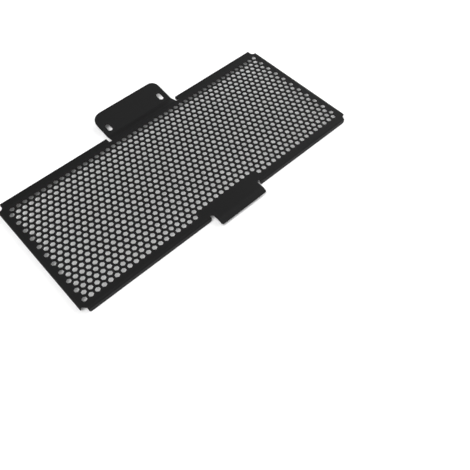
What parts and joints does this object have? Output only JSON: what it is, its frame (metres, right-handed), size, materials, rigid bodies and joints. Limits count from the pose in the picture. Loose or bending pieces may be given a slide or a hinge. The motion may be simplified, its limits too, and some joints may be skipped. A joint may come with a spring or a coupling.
{
  "type": "motorcycle radiator guard",
  "caption": "Folded perforated sheet guard for a motorcycle radiator, with a honeycomb field, turned-down rims, a slotted fixing tab and a plain locating tab.",
  "frame": {"origin": "middle of the part's box, on the plane that the free edges of the two long rims rest on", "axes": "+X along the panel's long side, +Y towards the slotted tab, +Z out of the panel's front face"},
  "size_m": [0.367, 0.2112, 0.0102],
  "materials": {
    "powder_coat": "matte black powder coat with a fine orange-peel texture"
  },
  "bodies": {
    "root": {"radiator_guard": "powder_coat"}
  },
  "joints": []
}
